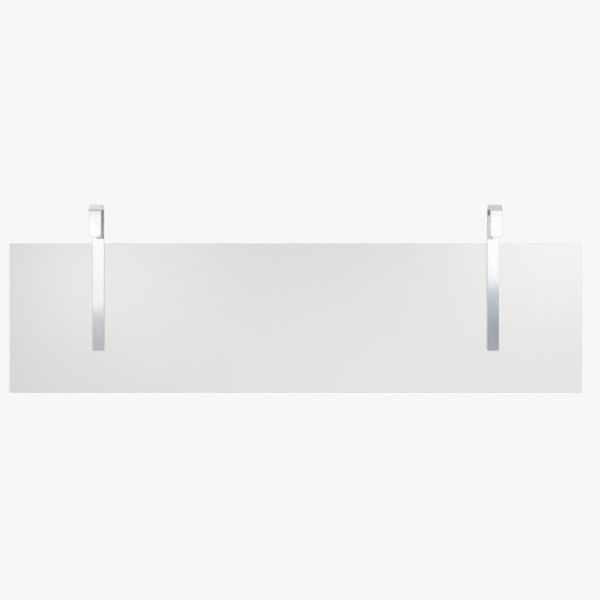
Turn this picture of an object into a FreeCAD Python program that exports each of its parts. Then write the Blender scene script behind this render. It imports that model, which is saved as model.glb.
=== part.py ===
import FreeCAD, Part
import math
import os
import Sketcher

# Desk privacy panel: one frosted sheet, bonded to two hangers bent from flat bar that
# hook over a desk's round cross tube.
#
# Frame, in millimetres: the origin lies on the axis of the cross tube, midway between
# the hangers. +X runs along the panel, -Y faces the user and +Z is up.

# Driving dimensions: alias, value, meaning
DRIVING = [
    ("PanelLength", 1200.0, "sheet, end to end"),
    ("PanelHeight", 313.0, "sheet, top to bottom"),
    ("PanelThickness", 5.0, "sheet"),
    ("PanelCorner", 2.0, "radius of the sheet's four corners"),
    ("PanelArris", 0.8, "radius along the sheet's edges"),
    ("PanelDrop", 65.0, "tube axis down to the sheet's top edge"),
    ("TubeDiameter", 22.0, "cross tube that the hangers sit on"),
    ("SeatClearance", 0.25, "radial, between tube and saddle"),
    ("BarWidth", 25.0, "flat bar"),
    ("BarThickness", 3.0, "flat bar"),
    ("BarArris", 1.0, "radius along the bar's edges"),
    ("FrontDrop", 54.0, "tube axis down to the end of the short front leg"),
    ("FrontCorner", 6.0, "radius of the front leg's two corners"),
    ("RearDrop", 290.0, "tube axis down to the end of the long rear leg"),
    ("RearCorner", 3.0, "radius of the rear leg's two corners"),
    ("HangerSpacing", 826.0, "centre to centre"),
    ("TapeWidth", 19.0, "foam bonding tape"),
    ("TapeThickness", 0.5, "foam bonding tape"),
    ("TapeSetback", 5.0, "tape end to the end of the bar, and to the top of the sheet"),
]

# Dimensions that follow from those: alias, formula, meaning
DERIVED = [
    ("SaddleInner", "=TubeDiameter / 2 + SeatClearance", "inside radius of the bend"),
    ("SaddleOuter", "=SaddleInner + BarThickness", "outside radius of the bend"),
    ("TapeLength", "=RearDrop - PanelDrop - 2 * TapeSetback", "foam bonding tape"),
    ("TapeCentreY", "=SaddleOuter + TapeThickness / 2", "behind the tube axis"),
    ("TapeCentreZ", "=-(RearDrop + PanelDrop) / 2", "middle of the bonded overlap"),
    ("PanelCentreY", "=SaddleOuter + TapeThickness + PanelThickness / 2", "behind the axis"),
    ("PanelCentreZ", "=-(PanelDrop + PanelHeight / 2)", "below the tube axis"),
]

# The two sides of the panel: name, and where its hanger stands along X
SIDES = [
    ("left", "-Dimensions.HangerSpacing / 2"),
    ("right", "Dimensions.HangerSpacing / 2"),
]

# How Sketcher numbers a curve's start, its end and its centre, and the sketch's own origin
START, END, CENTRE = 1, 2, 3
ORIGIN = (-1, 1)

doc = FreeCAD.newDocument("DeskPrivacyPanel")


def add_dimensions():
    sheet = doc.addObject("Spreadsheet::Sheet", "Dimensions")
    rows = [(alias, str(value), meaning) for alias, value, meaning in DRIVING] + DERIVED
    for row, (alias, content, meaning) in enumerate(rows, start=1):
        sheet.set(f"A{row}", alias)
        sheet.set(f"B{row}", content)
        sheet.set(f"C{row}", meaning)
        sheet.setAlias(f"B{row}", alias)
    doc.recompute()
    return sheet


def add_body(label):
    body = doc.addObject("PartDesign::Body", label)
    body.Label = label
    return body


def place(body, **formulas):
    """Bind the body's position along the named axes to formulas on the sheet."""
    for axis, formula in formulas.items():
        body.setExpression(f"Placement.Base.{axis}", formula)


def add_sketch(body, name, plane_role):
    sketch = body.newObject("Sketcher::SketchObject", name)
    plane = next(f for f in body.Origin.OriginFeatures if f.Role == plane_role)
    sketch.AttachmentSupport = [(plane, "")]
    sketch.MapMode = "FlatFace"
    return sketch


def add_line(sketch, start, end):
    return sketch.addGeometry(Part.LineSegment(FreeCAD.Vector(*start), FreeCAD.Vector(*end)))


def add_half_circle(sketch, radius):
    """The upper half of a circle about the origin, drawn from its right end to its left."""
    circle = Part.Circle(FreeCAD.Vector(0, 0, 0), FreeCAD.Vector(0, 0, 1), radius)
    return sketch.addGeometry(Part.ArcOfCircle(circle, 0, math.pi))


def constrain(sketch, kind, *where):
    return sketch.addConstraint(Sketcher.Constraint(kind, *where))


def add_dimension(sketch, name, value, formula, kind, *where):
    """A named dimension, drawn at its value and bound to a formula on the sheet."""
    index = constrain(sketch, kind, *where, value)
    sketch.renameConstraint(index, name)
    sketch.setExpression(f"Constraints.{name}", formula)


def add_pad(body, sketch, formula):
    """Extrude the sketch, half to each side of its plane."""
    pad = body.newObject("PartDesign::Pad", f"{body.Label}_pad")
    pad.Profile = sketch
    pad.SideType = "Symmetric"
    pad.setExpression("Length", formula)
    doc.recompute()
    return pad


def add_fillet(body, name, base, edges, formula):
    fillet = body.newObject("PartDesign::Fillet", f"{body.Label}_{name}")
    fillet.Base = (base, edges)
    fillet.setExpression("Radius", formula)
    doc.recompute()
    return fillet


def corner_edges(shape, keep=lambda centre: True):
    """The straight edges that run front to back, as names that a fillet takes."""
    names = []
    for number, edge in enumerate(shape.Edges, start=1):
        straight = isinstance(edge.Curve, Part.Line)
        if straight and abs(edge.Curve.Direction.y) > 0.999 and keep(edge.CenterOfMass):
            names.append(f"Edge{number}")
    return names


def all_edges(shape):
    return [f"Edge{number}" for number in range(1, len(shape.Edges) + 1)]


def add_rectangle_sketch(body, width, height, width_formula, height_formula):
    """A rectangle about the origin of the body's upright plane."""
    sketch = add_sketch(body, f"{body.Label}_outline", "XZ_Plane")
    right, top = width / 2, height / 2
    corners = [(-right, -top), (right, -top), (right, top), (-right, top)]
    bottom, end, head, start = [
        add_line(sketch, corners[i], corners[(i + 1) % 4]) for i in range(4)
    ]
    for here, following in [(bottom, end), (end, head), (head, start), (start, bottom)]:
        constrain(sketch, "Coincident", here, END, following, START)
    for level in (bottom, head):
        constrain(sketch, "Horizontal", level)
    for upright in (end, start):
        constrain(sketch, "Vertical", upright)
    constrain(sketch, "Symmetric", bottom, START, head, START, *ORIGIN)
    add_dimension(sketch, "Width", width, width_formula, "Distance", bottom)
    add_dimension(sketch, "Height", height, height_formula, "Distance", end)
    return sketch


def make_panel(sheet):
    """The frosted sheet, with eased corners and softened edges."""
    body = add_body("privacy_panel")
    outline = add_rectangle_sketch(
        body, sheet.PanelLength, sheet.PanelHeight,
        "Dimensions.PanelLength", "Dimensions.PanelHeight",
    )
    pad = add_pad(body, outline, "Dimensions.PanelThickness")
    corners = add_fillet(
        body, "corners", pad, corner_edges(pad.Shape), "Dimensions.PanelCorner"
    )
    add_fillet(body, "arris", corners, all_edges(corners.Shape), "Dimensions.PanelArris")
    place(body, y="Dimensions.PanelCentreY", z="Dimensions.PanelCentreZ")
    return body


def add_hook_sketch(body, sheet):
    """Side view of the bent bar: short front leg, bend over the tube, long rear leg."""
    sketch = add_sketch(body, f"{body.Label}_profile", "YZ_Plane")
    inner, outer = sheet.SaddleInner, sheet.SaddleOuter
    front, rear = -sheet.FrontDrop, -sheet.RearDrop

    outer_bend = add_half_circle(sketch, outer)
    front_outer = add_line(sketch, (-outer, 0), (-outer, front))
    front_end = add_line(sketch, (-outer, front), (-inner, front))
    front_inner = add_line(sketch, (-inner, front), (-inner, 0))
    inner_bend = add_half_circle(sketch, inner)
    rear_inner = add_line(sketch, (inner, 0), (inner, rear))
    rear_end = add_line(sketch, (inner, rear), (outer, rear))
    rear_outer = add_line(sketch, (outer, rear), (outer, 0))

    for bend in (outer_bend, inner_bend):
        constrain(sketch, "Coincident", bend, CENTRE, *ORIGIN)
    constrain(sketch, "Tangent", outer_bend, END, front_outer, START)
    constrain(sketch, "Tangent", inner_bend, END, front_inner, END)
    constrain(sketch, "Tangent", inner_bend, START, rear_inner, START)
    constrain(sketch, "Tangent", outer_bend, START, rear_outer, END)
    for leg in (front_outer, front_inner, rear_inner, rear_outer):
        constrain(sketch, "Vertical", leg)
    for side_a, end, side_b in [
        (front_outer, front_end, front_inner),
        (rear_inner, rear_end, rear_outer),
    ]:
        constrain(sketch, "Coincident", side_a, END, end, START)
        constrain(sketch, "Coincident", end, END, side_b, START)
        constrain(sketch, "Horizontal", end)

    add_dimension(sketch, "Inner", inner, "Dimensions.SaddleInner", "Radius", inner_bend)
    add_dimension(sketch, "Outer", outer, "Dimensions.SaddleOuter", "Radius", outer_bend)
    add_dimension(
        sketch, "Front", -front, "Dimensions.FrontDrop", "DistanceY", front_end, END, *ORIGIN
    )
    add_dimension(
        sketch, "Rear", -rear, "Dimensions.RearDrop", "DistanceY", rear_end, START, *ORIGIN
    )
    return sketch


def make_hanger(sheet, side, across):
    """A one-piece hanger: flat bar bent round a mandrel of the tube's size."""
    body = add_body(f"{side}_hanger")
    profile = add_hook_sketch(body, sheet)
    pad = add_pad(body, profile, "Dimensions.BarWidth")
    front = add_fillet(
        body, "front_corners", pad,
        corner_edges(pad.Shape, lambda centre: centre.y < 0),
        "Dimensions.FrontCorner",
    )
    rear = add_fillet(
        body, "rear_corners", front,
        corner_edges(front.Shape, lambda centre: centre.y > 0),
        "Dimensions.RearCorner",
    )
    add_fillet(body, "arris", rear, all_edges(rear.Shape), "Dimensions.BarArris")
    place(body, x=across)
    return body


def make_tape(sheet, side, across):
    """The strip of double-sided foam that bonds the rear leg to the sheet."""
    body = add_body(f"{side}_bonding_tape")
    outline = add_rectangle_sketch(
        body, sheet.TapeWidth, sheet.TapeLength,
        "Dimensions.TapeWidth", "Dimensions.TapeLength",
    )
    add_pad(body, outline, "Dimensions.TapeThickness")
    place(body, x=across, y="Dimensions.TapeCentreY", z="Dimensions.TapeCentreZ")
    return body


def check(bodies):
    """Stop if any object failed, or a body isn't one sound solid."""
    for item in doc.Objects:
        if "Invalid" in item.State or "Error" in item.State:
            raise RuntimeError(f"{item.Label} failed: {item.State}")
    for item in doc.findObjects("Sketcher::SketchObject"):
        if not item.FullyConstrained:
            raise RuntimeError(f"{item.Label} is not fully constrained")
    for body in bodies:
        shape = body.Shape
        if shape.isNull() or not shape.isValid() or len(shape.Solids) != 1:
            raise RuntimeError(f"{body.Label} has no sound shape")


def export(bodies):
    os.makedirs("parts", exist_ok=True)
    for body in bodies:
        body.Shape.exportStep(f"parts/{body.Label}.step")
        box = body.Shape.optimalBoundingBox(False)
        print(
            f"{body.Label}: {box.XLength:.1f} x {box.YLength:.1f} x {box.ZLength:.1f} mm, "
            f"{body.Shape.Volume / 1000:.1f} cm3"
        )


sheet = add_dimensions()
bodies = [make_panel(sheet)]
for side, across in SIDES:
    bodies.append(make_hanger(sheet, side, across))
    bodies.append(make_tape(sheet, side, across))
doc.recompute()
check(bodies)
export(bodies)
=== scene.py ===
import math

import bmesh
import bpy
from mathutils import Matrix, Vector


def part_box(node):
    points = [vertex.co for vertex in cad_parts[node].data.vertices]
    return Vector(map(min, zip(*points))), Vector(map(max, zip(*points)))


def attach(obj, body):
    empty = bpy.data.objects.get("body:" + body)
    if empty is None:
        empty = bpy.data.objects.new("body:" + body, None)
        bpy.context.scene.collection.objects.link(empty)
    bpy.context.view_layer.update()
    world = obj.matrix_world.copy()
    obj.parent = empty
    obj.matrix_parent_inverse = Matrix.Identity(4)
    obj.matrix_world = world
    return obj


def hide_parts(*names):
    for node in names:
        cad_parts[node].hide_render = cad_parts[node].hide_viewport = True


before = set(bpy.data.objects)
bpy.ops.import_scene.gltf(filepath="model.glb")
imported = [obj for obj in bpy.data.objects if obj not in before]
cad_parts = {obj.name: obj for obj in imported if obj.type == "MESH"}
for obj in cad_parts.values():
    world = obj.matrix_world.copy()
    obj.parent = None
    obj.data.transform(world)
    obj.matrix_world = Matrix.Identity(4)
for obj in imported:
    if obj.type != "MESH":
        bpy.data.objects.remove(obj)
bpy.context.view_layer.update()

hangers = ["left_hanger", "right_hanger"]
tapes = ["left_bonding_tape", "right_bonding_tape"]
sheetLow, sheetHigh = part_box("privacy_panel")
topMiddle = Vector(((sheetLow.x + sheetHigh.x) / 2, sheetLow.y, sheetHigh.z))  # front face
print("frame loaded:", len(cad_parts), "nodes")


camera = {
    "lens": 42.3,  # mm, on a 36 mm sensor
    "place": (0.009, -1.478, -0.1185),  # from the middle of the sheet's top edge
    "pitch": 90,  # degrees, level
    "clip": (0.05, 100),
}


def addCamera():
    data = bpy.data.cameras.new("camera")
    data.lens = camera["lens"]
    data.clip_start, data.clip_end = camera["clip"]
    eye = bpy.data.objects.new("camera", data)
    eye.location = topMiddle + Vector(camera["place"])
    eye.rotation_euler = (math.radians(camera["pitch"]), 0, 0)
    bpy.context.collection.objects.link(eye)
    bpy.context.scene.camera = eye


class Link:  # an output socket that Python's operators work on
    def __init__(self, graph, socket):
        self.graph = graph
        self.socket = socket

    def maths(self, operation, *values):
        return self.graph.node("Math", {"operation": operation}, dict(enumerate(values)))

    def __add__(self, other):
        return self.maths("ADD", self, other)

    def __sub__(self, other):
        return self.maths("SUBTRACT", self, other)

    def __rsub__(self, other):
        return self.maths("SUBTRACT", other, self)

    def __mul__(self, other):
        return self.maths("MULTIPLY", self, other)

    def __abs__(self):
        return self.maths("ABSOLUTE", self)

    def orMore(self, other):
        return self.maths("MAXIMUM", self, other)

    __radd__ = __add__
    __rmul__ = __mul__


class Graph:  # a node tree, emptied and filled again
    def __init__(self, owner):
        owner.use_nodes = True
        self.tree = owner.node_tree
        self.tree.nodes.clear()

    def node(self, kind, settings=None, inputs=None, output=0):
        made = self.tree.nodes.new("ShaderNode" + kind)
        for name, value in (settings or {}).items():
            if name == "stops":
                self.setStops(made.color_ramp, value)
            else:
                setattr(made, name, value)
        for name, value in (inputs or {}).items():
            if isinstance(value, Link):
                self.tree.links.new(value.socket, made.inputs[name])
            else:
                made.inputs[name].default_value = value
        return Link(self, made.outputs[output]) if made.outputs else made

    def setStops(self, ramp, stops):
        while len(ramp.elements) < len(stops):
            ramp.elements.new(1)
        for element, (position, colour) in zip(ramp.elements, stops):
            element.position = position
            element.color = colour

    def noise(self, place, stretch, scale, detail=2, roughness=0.5):
        mapped = self.node("Mapping", {}, {"Vector": place, "Scale": stretch})
        return self.node(
            "TexNoise", {},
            {"Vector": mapped, "Scale": scale, "Detail": detail, "Roughness": roughness},
        )

    def mixColours(self, factor, first, second):
        return self.node(
            "Mix", {"data_type": "RGBA"}, {0: factor, 6: first, 7: second}, output=2
        )


def newMaterial(name):
    material = bpy.data.materials.new(name)
    graph = Graph(material)
    return material, graph, graph.node("TexCoord", output="Object")


def finishMaterial(graph, principled):
    graph.node("OutputMaterial", {}, {"Surface": principled})


frosted = {
    "base": (0.772, 0.769, 0.759, 1),
    "cloud": (0.76, 0.758, 0.747, 1),
    "cloudSize": 9,  # patches per metre
    "cloudShare": 0.6,  # of the colour's drift, and the frost does the rest
    "roughness": 0.42,
    "roughnessDrift": 0.06,
    "ior": 1.49,
    "frostSize": 900,  # grains per metre
    "frostDepth": 0.00003,
    "edge": (0.715, 0.714, 0.71, 1),  # the sawn and polished edges are glossier, and darker: partly their own tone, partly painted shade on the arrises
    "edgeRoughness": 0.24,
    "edgeBand": (0.0014, 0.0005),  # from here to here in from each edge
}


def frostedSheet():
    material, graph, place = newMaterial("frostedSheet")
    frost = graph.noise(place, (1, 1, 1), frosted["frostSize"], detail=3, roughness=0.6)
    cloud = graph.noise(place, (1, 1, 1), frosted["cloudSize"])
    bump = graph.node("Bump", {}, {"Distance": frosted["frostDepth"], "Height": frost})

    def nearEdge(axis, low, high):
        offset = graph.node("SeparateXYZ", {}, {0: place}, output=axis) - (low + high) / 2
        start, end = ((high - low) / 2 - inset for inset in frosted["edgeBand"])
        return graph.node(
            "MapRange", {"interpolation_type": "SMOOTHSTEP"},
            {"Value": abs(offset), "From Min": start, "From Max": end},
        )

    # a band along each edge that lowers the roughness to a polish and darkens the colour as
    # painted shade on the arrises
    sides = nearEdge("X", sheetLow.x, sheetHigh.x)
    rimGlossAndShade = sides.orMore(nearEdge("Z", sheetLow.z, sheetHigh.z))
    share = frosted["cloudShare"]
    drift = share * cloud + (1 - share) * frost
    face = graph.mixColours(drift, frosted["base"], frosted["cloud"])
    gloss = frosted["roughness"] - frosted["edgeRoughness"]
    roughness = frosted["roughness"] - gloss * rimGlossAndShade + frosted["roughnessDrift"] * (frost - 0.5)
    principled = graph.node(
        "BsdfPrincipled", {},
        {
            # the edge band's darker colour is painted shade on the arrises
            "Base Color": graph.mixColours(rimGlossAndShade, face, frosted["edge"]),
            "Roughness": roughness,
            "IOR": frosted["ior"],
            "Normal": bump,
        },
    )
    finishMaterial(graph, principled)
    return material


steel = {
    "bright": (0.83, 0.832, 0.832, 1),
    "dull": (0.725, 0.73, 0.735, 1),
    "roughness": 0.1,
    "roughnessDrift": 0.1,
    "grainAcross": 1500,  # streaks per metre of the bar's width
    "grainAlong": 9,
    "grainDepth": 0.0000025,
    "strokeAcross": 330,
    "strokeAlong": 32,
    "strokeDepth": 0.000012,
    "mottleSize": 95,  # patches per metre
    "mottleStretch": (1, 1, 0.6),  # longer down the bar
    "mottleDepth": 0.00004,
    # how much each of them dulls the polish, less what stays bright
    "grainWear": 0.2,
    "strokeWear": 0.7,
    "mottleWear": 0.35,
    "unworn": 0.25,
}


def polishedSteel():
    material, graph, place = newMaterial("polishedSteel")
    across, along = steel["grainAcross"], steel["grainAlong"]
    grain = graph.noise(place, (across, along, along), scale=1, detail=4, roughness=0.65)
    across, along = steel["strokeAcross"], steel["strokeAlong"]
    strokes = graph.noise(place, (across, along, along), scale=1)
    stretch = steel["mottleStretch"]
    mottle = graph.noise(place, stretch, steel["mottleSize"], detail=4, roughness=0.55)
    height = (
        steel["grainDepth"] * grain + steel["strokeDepth"] * strokes
        + steel["mottleDepth"] * mottle
    )
    wear = (
        steel["grainWear"] * grain + steel["strokeWear"] * strokes
        + steel["mottleWear"] * mottle - steel["unworn"]
    )
    drift = steel["roughnessDrift"]
    principled = graph.node(
        "BsdfPrincipled", {},
        {
            "Base Color": graph.mixColours(wear, steel["bright"], steel["dull"]),
            "Metallic": 1.0,
            "Roughness": steel["roughness"] + drift * (grain - 0.5) + drift * (mottle - 0.5),
            "Normal": graph.node("Bump", {}, {"Distance": 1.0, "Height": height}),
        },
    )
    finishMaterial(graph, principled)
    return material


foam = {
    "pale": (0.34, 0.35, 0.35, 1),
    "dark": (0.24, 0.25, 0.25, 1),
    "roughness": 0.85,
    "cells": 4000,  # per metre
    "cellDepth": 0.0001,
    "cellStrength": 0.4,
}


def foamTape():
    material, graph, place = newMaterial("foamTape")
    cells = graph.noise(place, (1, 1, 1), foam["cells"])
    bump = graph.node(
        "Bump", {},
        {"Strength": foam["cellStrength"], "Distance": foam["cellDepth"], "Height": cells},
    )
    principled = graph.node(
        "BsdfPrincipled", {},
        {
            "Base Color": graph.mixColours(cells, foam["pale"], foam["dark"]),
            "Roughness": foam["roughness"],
            "Normal": bump,
        },
    )
    finishMaterial(graph, principled)
    return material


def addPiece(name, mesh, material, node):
    obj = bpy.data.objects.new(name, mesh)
    obj.data.materials.append(material)
    bpy.context.collection.objects.link(obj)
    obj.data.shade_smooth()
    weighted = obj.modifiers.new("evenNormals", "WEIGHTED_NORMAL")
    weighted.weight = 100  # the flat faces lead and the arrises follow
    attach(obj, "root")
    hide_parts(node)


def toMesh(form, name):
    mesh = bpy.data.meshes.new(name)
    form.to_mesh(mesh)
    form.free()
    return mesh


def boxForm(low, high):
    form = bmesh.new()
    bmesh.ops.create_cube(form, size=1)
    bmesh.ops.scale(form, vec=high - low, verts=form.verts)
    bmesh.ops.translate(form, vec=(low + high) / 2, verts=form.verts)
    return form


def roundEdges(form, edges, radius, segments):
    bmesh.ops.bevel(
        form, geom=edges, offset=radius, offset_type="OFFSET", affect="EDGES",
        segments=segments, profile=0.5, material=-1, clamp_overlap=True,
    )


def sharpEdges(form, angle=math.radians(40)):
    return [e for e in form.edges if e.is_manifold and e.calc_face_angle() > angle]


def edgesThrough(form, keep=lambda middle: True):
    # straight edges that run through the thickness, front to back
    aligned = 0.99  # the least share of an edge's length that runs along Y
    found = []
    for edge in form.edges:
        start, end = (v.co for v in edge.verts)
        run = end - start
        if abs(run.y) > aligned * run.length and keep((start + end) / 2):
            found.append(edge)
    return found


sheetShape = {
    "corner": 0.002,
    "cornerSegments": 6,
    "arris": 0.0008,
    "arrisSegments": 3,
}


def addSheet(material):
    form = boxForm(sheetLow, sheetHigh)
    roundEdges(form, edgesThrough(form), sheetShape["corner"], sheetShape["cornerSegments"])
    roundEdges(form, sharpEdges(form), sheetShape["arris"], sheetShape["arrisSegments"])
    mesh = toMesh(form, "frostedPanel")
    addPiece("frostedPanel", mesh, material, "privacy_panel")


barShape = {
    "thickness": 0.003,
    "frontLeg": 0.054,  # from the tube's axis down
    "frontCorner": 0.006,
    "frontSegments": 10,
    "rearCorner": 0.003,
    "rearSegments": 8,
    "arris": 0.001,
    "arrisSegments": 4,
    "bendSteps": 48,
}


def addHanger(node, material):
    low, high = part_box(node)
    outer = high.z
    inner = outer - barShape["thickness"]
    form = bmesh.new()
    # the front leg's end, a rectangle of bar stock seen from below
    corners = [(low.x, -outer), (high.x, -outer), (high.x, -inner), (low.x, -inner)]
    ring = [form.verts.new((x, y, -barShape["frontLeg"])) for x, y in corners]
    section = form.faces.new(ring)

    def extrude(face, drop):
        # with its edges given, a face inside the bar is taken away and an end is kept
        region = [face, *face.edges, *face.verts]
        made = bmesh.ops.extrude_face_region(form, geom=region)["geom"]
        verts = [v for v in made if isinstance(v, bmesh.types.BMVert)]
        bmesh.ops.translate(form, vec=(0, 0, drop), verts=verts)
        return next(f for f in made if isinstance(f, bmesh.types.BMFace))

    top = extrude(section, barShape["frontLeg"])
    bent = bmesh.ops.spin(
        form, geom=[top, *top.edges, *top.verts], cent=(0, 0, 0), axis=(-1, 0, 0),
        angle=math.pi, steps=barShape["bendSteps"], use_merge=False,
    )["geom_last"]
    rear = next(f for f in bent if isinstance(f, bmesh.types.BMFace))
    extrude(rear, low.z)
    bmesh.ops.recalc_face_normals(form, faces=form.faces)
    # only the edges at a leg's end are lower than half of that leg
    halfLeg = -barShape["frontLeg"] / 2
    front = edgesThrough(form, lambda middle: middle.z < halfLeg and middle.y < 0)
    roundEdges(form, front, barShape["frontCorner"], barShape["frontSegments"])
    back = edgesThrough(form, lambda middle: middle.z < low.z / 2 and middle.y > 0)
    roundEdges(form, back, barShape["rearCorner"], barShape["rearSegments"])
    roundEdges(form, sharpEdges(form), barShape["arris"], barShape["arrisSegments"])
    mesh = toMesh(form, node + "Bar")
    addPiece(node + "Bar", mesh, material, node)


tapeShape = {"edge": 0.0002, "edgeSegments": 2}


def addTape(node, material):
    form = boxForm(*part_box(node))
    roundEdges(form, form.edges[:], tapeShape["edge"], tapeShape["edgeSegments"])
    mesh = toMesh(form, node + "Foam")
    addPiece(node + "Foam", mesh, material, node)


studio = {
    "pale": (0.93, 0.93, 0.93, 1),
    "floor": {
        "drop": 1.3,  # below the tube's axis
        "radius": 14,
        "segments": 96,
        "colour": 0.001,
        "patchShare": 0.97,  # of that colour, in the darker patches
        "patchSize": 1.5,  # patches per metre
        "roughness": 0.9,
        "glow": 0.93,
    },
    # what the metal mirrors on each side, from straight down to straight up: degrees, colour
    "leftDome": [
        (-90, (0.97, 0.97, 0.97)),
        (-40, (0.93, 0.93, 0.93)),
        (-28, (0.84, 0.85, 0.85)),
        (-21, (0.56, 0.58, 0.59)),
        (-9, (0.56, 0.58, 0.6)),
        (-4, (0.56, 0.585, 0.61)),
        (-3.2, (0.57, 0.59, 0.625)),
        (-2.4, (0.7, 0.735, 0.765)),
        (-1.4, (0.745, 0.76, 0.78)),
        (0.3, (0.715, 0.7, 0.69)),
        (3.5, (0.815, 0.81, 0.81)),
        (6.2, (0.865, 0.85, 0.825)),
        (7.3, (0.97, 0.955, 0.93)),
        (7.9, (0.27, 0.27, 0.265)),
        (16, (0.4, 0.4, 0.39)),
        (23, (0.8, 0.8, 0.79)),
        (36, (0.88, 0.88, 0.87)),
        (60, (0.9, 0.9, 0.89)),
        (90, (1.0, 1.0, 1.0)),
    ],
    "rightDome": [
        (-90, (0.92, 0.92, 0.92)),
        (-40, (0.86, 0.86, 0.87)),
        (-28, (0.76, 0.77, 0.78)),
        (-21, (0.48, 0.5, 0.52)),
        (-9, (0.47, 0.49, 0.51)),
        (-4, (0.515, 0.505, 0.52)),
        (-2.3, (0.37, 0.43, 0.48)),
        (-1.2, (0.445, 0.525, 0.595)),
        (0, (0.61, 0.7, 0.74)),
        (1.5, (0.785, 0.815, 0.84)),
        (6.2, (0.825, 0.815, 0.795)),
        (7.3, (0.93, 0.92, 0.9)),
        (7.9, (0.52, 0.515, 0.505)),
        (16, (0.72, 0.72, 0.71)),
        (30, (0.8, 0.8, 0.79)),
        (60, (0.76, 0.76, 0.75)),
        (90, (0.78, 0.78, 0.78)),
    ],
    "ambient": 0.3,  # the share of the dome's light that falls on matt surfaces
    "domeBlend": 0.25,  # how far to each side the left dome turns into the right one
    # places are from the middle of the sheet's top edge, and a lamp faces +Y unless it says
    # another way
    "lamps": {
        "leftBox": {"place": (-0.85, -1.565, 0.053), "size": (0.8, 0.44), "radiance": 0.42},
        "rightBox": {"place": (1.1, -1.565, 0.113), "size": (1.0, 0.34), "radiance": 0.44},
        "leftGlow": {"place": (-0.42, -0.24, -0.06), "size": (0.23, 0.12), "radiance": 1.55},
        "rightGlow": {"place": (0.59, -0.24, 0.01), "size": (0.4, 0.1), "radiance": 1.75},
        "middleFill": {"place": (0.4, -1.1, -0.67), "size": (1.25, 0.37), "radiance": 2.35},
        "frontFill": {"place": (0.1, -3.5, -0.47), "size": (1.8, 1.1), "radiance": 11.1},
        "backFill": {
            "place": (0.1, 3.5, 1.0), "size": (1.8, 1.7), "radiance": 9.5, "faces": (0, -1, 0)
        },
        "backBox": {
            "place": (1.45, 3.5, 0.42), "size": (1.0, 0.9), "radiance": 1.5, "faces": (0, -1, 0)
        },
        "leftFill": {
            "place": (-3.5, 0.6, 0.9), "size": (1.1, 1.4), "radiance": 8.0, "faces": (1, 0, 0)
        },
        "rightFill": {
            "place": (3.5, 0.6, 0.9), "size": (1.1, 1.4), "radiance": 8.0, "faces": (-1, 0, 0)
        },
        "topFill": {
            "place": (0, 0, 2.2), "size": (3.0, 1.2), "radiance": 1.2, "faces": (0, 0, -1)
        },
    },
    "mirrored": ["leftBox", "rightBox", "backBox"],  # the lamps that the metal shows
}


def addWorld():
    world = bpy.data.worlds.new("studio")
    bpy.context.scene.world = world
    graph = Graph(world)
    direction = graph.node("TexCoord", output="Generated")
    across = graph.node("SeparateXYZ", {}, {0: direction}, output="X")
    height = graph.node("SeparateXYZ", {}, {0: direction}, output="Z")

    def dome(side):
        stops = [
            ((math.sin(math.radians(degrees)) + 1) / 2, (*colour, 1))
            for degrees, colour in studio[side]
        ]
        return graph.node("ValToRGB", {"stops": stops}, {0: 0.5 + 0.5 * height})

    blend = studio["domeBlend"]
    rightShare = graph.node(
        "MapRange", {"interpolation_type": "SMOOTHSTEP"},
        {"Value": across, "From Min": -blend, "From Max": blend},
    )
    colour = graph.mixColours(rightShare, dome("leftDome"), dome("rightDome"))
    soft = graph.node("LightPath", output="Is Diffuse Ray")
    strength = 1 - (1 - studio["ambient"]) * soft
    lit = graph.node("Background", {}, {"Color": colour, "Strength": strength})
    shown = graph.node("Background", {}, {"Color": studio["pale"]})
    seen = graph.node("LightPath", output="Is Camera Ray")
    mixed = graph.node("MixShader", {}, {0: seen, 1: lit, 2: shown})
    graph.node("OutputWorld", {}, {"Surface": mixed})


def addFloor():
    ground = studio["floor"]
    form = bmesh.new()
    bmesh.ops.create_circle(
        form, cap_ends=True, segments=ground["segments"], radius=ground["radius"],
        matrix=Matrix.Translation((0, 0, -ground["drop"])),
    )
    floor = bpy.data.objects.new("floor", toMesh(form, "floor"))
    material, graph, place = newMaterial("paleFloor")
    grey = ground["colour"]
    darker = ground["patchShare"] * grey
    drift = graph.noise(place, (1, 1, 1), ground["patchSize"])
    colour = graph.mixColours(drift, (grey, grey, grey, 1), (darker, darker, darker, 1))
    principled = graph.node(
        "BsdfPrincipled", {},
        {
            "Base Color": colour,
            "Roughness": ground["roughness"],
            "Specular IOR Level": 0.0,
            "Emission Color": (1, 1, 1, 1),
            "Emission Strength": ground["glow"],
        },
    )
    finishMaterial(graph, principled)
    floor.data.materials.append(material)
    bpy.context.collection.objects.link(floor)
    floor.visible_glossy = False  # the metal mirrors the dome instead
    floor.visible_diffuse = False  # and the lamps light the sheet


def addLamp(name):
    lamp = studio["lamps"][name]
    data = bpy.data.lights.new(name, "AREA")
    data.shape = "RECTANGLE"
    data.size, data.size_y = lamp["size"]
    data.energy = lamp["radiance"] * math.pi * data.size * data.size_y
    box = bpy.data.objects.new(name, data)
    box.location = topMiddle + Vector(lamp["place"])
    faces = Vector(lamp.get("faces", (0, 1, 0)))
    box.rotation_euler = faces.to_track_quat("-Z", "Y").to_euler()
    box.visible_camera = False
    box.visible_glossy = name in studio["mirrored"]
    bpy.context.collection.objects.link(box)


addCamera()
addWorld()
addFloor()
for name in studio["lamps"]:
    addLamp(name)
bpy.context.scene.view_settings.view_transform = "Standard"
print("camera and studio ready")

sheetFinish = frostedSheet()
steelFinish = polishedSteel()
foamFinish = foamTape()
addSheet(sheetFinish)
for node in hangers:
    addHanger(node, steelFinish)
for node in tapes:
    addTape(node, foamFinish)
print("pieces ready")
